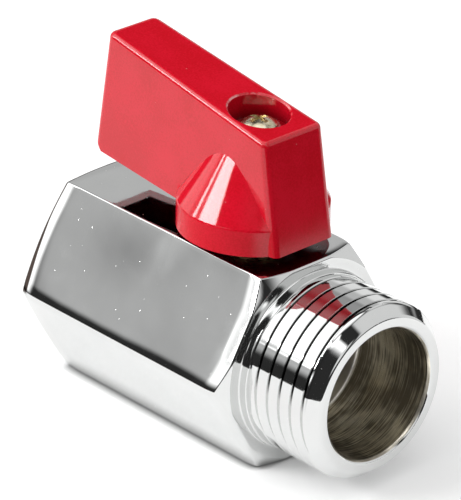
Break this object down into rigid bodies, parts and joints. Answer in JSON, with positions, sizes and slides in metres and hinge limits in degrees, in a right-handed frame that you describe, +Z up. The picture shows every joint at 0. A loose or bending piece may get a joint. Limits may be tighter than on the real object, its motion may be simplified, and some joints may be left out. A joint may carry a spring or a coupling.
{
  "type": "mini ball valve",
  "caption": "Chrome hexagon mini ball valve with a female inlet, a male threaded outlet and a red quarter-turn lever handle that turns a bored ball.",
  "frame": {"origin": "on the bottom flat of the hexagon body, straight under the handle's turning axis", "axes": "+X along the pipe axis towards the male outlet, +Z up along the stem towards the handle"},
  "size_m": [0.0456, 0.0274, 0.0428],
  "materials": {
    "body_chrome": "bright chrome plate on brass, bores left as turned",
    "retainer_brass": "turned brass",
    "seat_ptfe": "white PTFE",
    "ball_chrome": "polished chrome plate on brass",
    "stem_brass": "turned brass",
    "seal_rubber": "black nitrile rubber",
    "handle_red": "gloss red moulding",
    "screw_zinc": "yellow zinc plate on steel"
  },
  "bodies": {
    "valve_body": {"hex_body": "body_chrome", "seat_retainer": "retainer_brass", "inlet_seat": "seat_ptfe", "outlet_seat": "seat_ptfe"},
    "handle_set": {"handle": "handle_red", "handle_screw": "screw_zinc", "stem": "stem_brass", "ball": "ball_chrome", "stem_o_ring": "seal_rubber", "thrust_washer": "seat_ptfe"}
  },
  "joints": [
    {"name": "quarter_turn", "type": "hinge", "parent": "valve_body", "child": "handle_set", "pos_m": [0, 0, 0.012], "axis": [0, 0, -1], "range_deg": [0, 90]}
  ]
}
